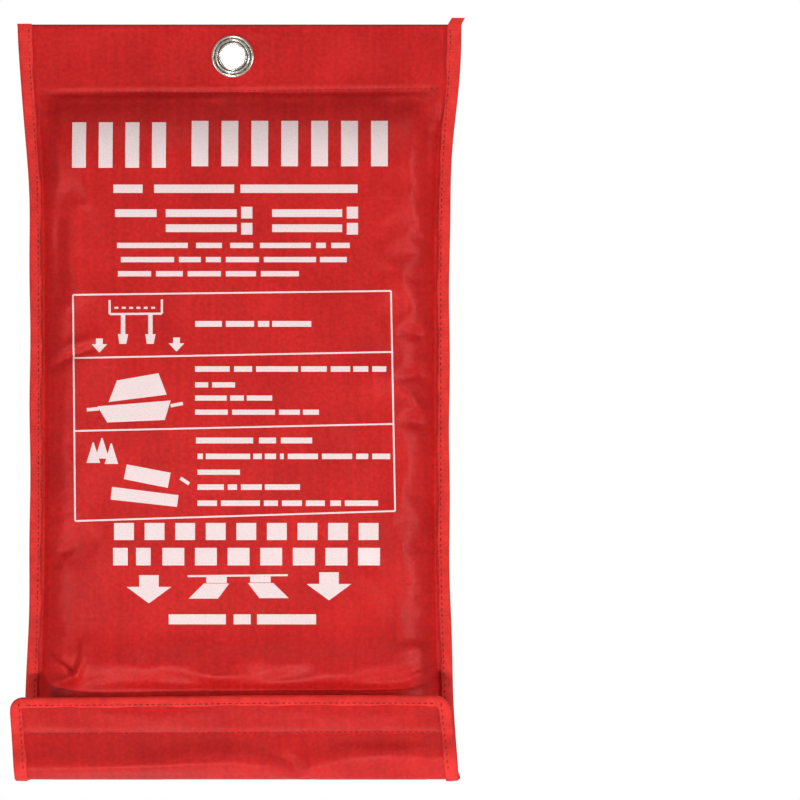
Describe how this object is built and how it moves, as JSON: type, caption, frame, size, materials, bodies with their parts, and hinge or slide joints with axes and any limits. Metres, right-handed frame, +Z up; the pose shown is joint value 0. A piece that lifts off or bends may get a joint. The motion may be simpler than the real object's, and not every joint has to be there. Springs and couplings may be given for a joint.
{
  "type": "fire blanket",
  "caption": "Soft hanging pouch with an eyelet and a hook-and-loop flap, holding a folded glass-fibre fire blanket with two pull tapes.",
  "frame": {"origin": "middle of the hanging eyelet's bore, in the middle of the header's thickness", "axes": "+X to the right seen from the front, +Y towards the wall, +Z up; the front looks along -Y"},
  "size_m": [0.184, 0.0233, 0.3133],
  "materials": {
    "red_cloth": "satin",
    "red_binding": "matte",
    "nickel_plate": "satin",
    "black_loop": "matte",
    "black_hook": "matte",
    "black_webbing": "matte",
    "black_thread": "matte",
    "red_thread": "matte",
    "glass_cloth": "satin",
    "print_ink": "matte"
  },
  "bodies": {
    "pouch": {"back_panel": "red_cloth", "front_panel": "red_cloth", "left_binding": "red_binding", "right_binding": "red_binding", "eyelet": "nickel_plate", "eyelet_washer": "nickel_plate", "loop_strip": "black_loop", "header_seam_thread": "red_thread", "loop_strip_thread": "black_thread", "left_binding_thread": "red_thread", "right_binding_thread": "red_thread"},
    "flap_fold": {"bottom_fold": "red_cloth", "fold_left_binding": "red_binding", "fold_right_binding": "red_binding"},
    "flap": {"flap_panel": "red_cloth", "flap_top_binding": "red_binding", "flap_left_binding": "red_binding", "flap_right_binding": "red_binding", "hook_strip": "black_hook", "flap_thread": "red_thread"},
    "blanket": {"folded_blanket": "glass_cloth", "left_tape_root": "black_webbing", "right_tape_root": "black_webbing", "left_tape_thread": "black_thread", "right_tape_thread": "black_thread"},
    "left_tape": {"left_pull_tape": "black_webbing"},
    "right_tape": {"right_pull_tape": "black_webbing"}
  },
  "joints": [
    {"name": "flap_open", "type": "hinge", "parent": "pouch", "child": "flap_fold", "pos_m": [0.0029, 0.0004, -0.2964], "axis": [1, 0, 0], "range_deg": [0, 90]},
    {"name": "flap_unfold", "type": "hinge", "parent": "flap_fold", "child": "flap", "pos_m": [0.0029, -0.0194, -0.2964], "axis": [1, 0, 0], "range_deg": [0, 90]},
    {"name": "blanket_draw", "type": "slide", "parent": "pouch", "child": "blanket", "axis": [0, 0, -1], "range_m": [0, 0.25], "deforming": ["bottom_fold"]},
    {"name": "left_tape_release", "type": "hinge", "parent": "blanket", "child": "left_tape", "pos_m": [-0.0191, -0.01385, -0.2881], "axis": [0.7071, 0, 0.7071], "range_deg": [0, 180]},
    {"name": "right_tape_release", "type": "hinge", "parent": "blanket", "child": "right_tape", "pos_m": [0.0249, -0.01385, -0.2881], "axis": [0.7071, 0, -0.7071], "range_deg": [0, 180]}
  ],
  "couplings": [
    {"joint": "flap_unfold", "follows": "flap_open", "ratio": 1},
    {"joint": "left_tape_release", "follows": "blanket_draw", "rad_per_m": 12.566},
    {"joint": "right_tape_release", "follows": "blanket_draw", "rad_per_m": 12.566}
  ]
}
